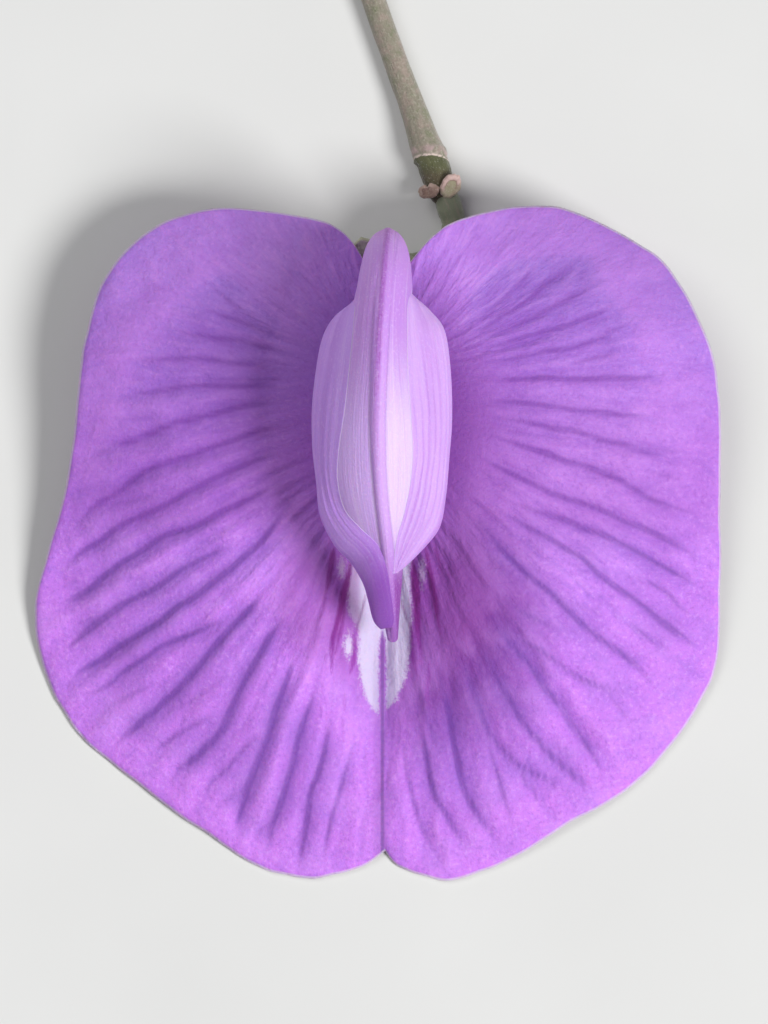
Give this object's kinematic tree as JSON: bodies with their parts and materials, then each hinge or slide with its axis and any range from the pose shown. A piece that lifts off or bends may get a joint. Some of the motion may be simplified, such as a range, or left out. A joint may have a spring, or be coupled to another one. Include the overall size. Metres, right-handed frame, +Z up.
{
  "type": "spurred butterfly pea flower",
  "caption": "Picked butterfly pea flower lying face up: creased two-lobed banner petal, arched keel between wing petals, green calyx and a cut stem along the surface.",
  "frame": {"origin": "centre of the bounding box's underside, on the surface that the flower lies on", "axes": "+Z up out of the surface and nearly out of the flower's face, +Y from the banner's notch towards the cut end of the stem, +X to the flower's right as the camera sees it"},
  "size_m": [0.0361, 0.0588, 0.013],
  "materials": {
    "banner": "matte",
    "wing": "satin",
    "keel": "satin",
    "calyx": "matte",
    "stalk": "satin",
    "stem": "matte",
    "bract": "matte",
    "stamen": "matte"
  },
  "bodies": {
    "root": {"standard_petal": "banner", "wing_left": "wing", "wing_right": "wing", "keel": "keel", "calyx": "calyx", "bracteole_left": "calyx", "bracteole_right": "calyx", "pedicel": "stalk", "peduncle": "stem", "bract_left": "bract", "bract_right": "bract", "staminal_sheath": "stamen", "free_stamen": "stamen", "pistil": "stalk"}
  },
  "joints": []
}
